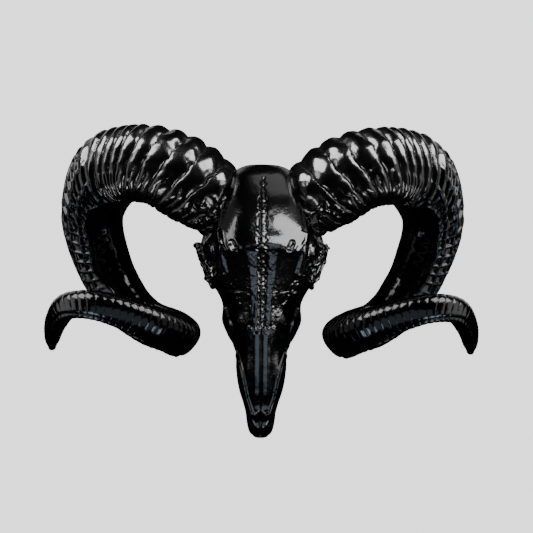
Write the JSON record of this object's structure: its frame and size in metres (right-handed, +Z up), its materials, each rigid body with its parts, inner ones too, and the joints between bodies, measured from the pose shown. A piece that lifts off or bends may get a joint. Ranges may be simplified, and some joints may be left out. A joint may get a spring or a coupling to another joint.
{
  "type": "ram skull wall sculpture",
  "caption": "Life-size ram skull with tightly curled ridged horns, a glossy black casting that hangs on a wall by a keyhole in the pad behind it.",
  "frame": {"origin": "middle of the wall pad's flat back, on the wall plane", "axes": "+Z up along the wall, +Y into the wall, +X to the animal's left; the face looks along -Y with the muzzle down"},
  "size_m": [0.4096, 0.1627, 0.3034],
  "materials": {
    "skull_enamel": "cast resin under glossy black enamel",
    "horn_enamel": "cast resin under glossy black enamel, worn a little duller on the ridges",
    "pad_enamel": "satin black casting back"
  },
  "bodies": {
    "root": {"cranium": "skull_enamel", "nasal_left": "skull_enamel", "nasal_right": "skull_enamel", "maxilla_left": "skull_enamel", "maxilla_right": "skull_enamel", "premaxilla_left": "skull_enamel", "premaxilla_right": "skull_enamel", "orbit_rim_left": "skull_enamel", "orbit_rim_right": "skull_enamel", "zygomatic_left": "skull_enamel", "zygomatic_right": "skull_enamel", "wall_pad": "pad_enamel", "horn_base_left": "horn_enamel", "horn_base_right": "horn_enamel", "horn_crown_left": "horn_enamel", "horn_crown_right": "horn_enamel", "horn_lower_left": "horn_enamel", "horn_lower_right": "horn_enamel", "horn_tip_left": "horn_enamel", "horn_tip_right": "horn_enamel"}
  },
  "joints": []
}
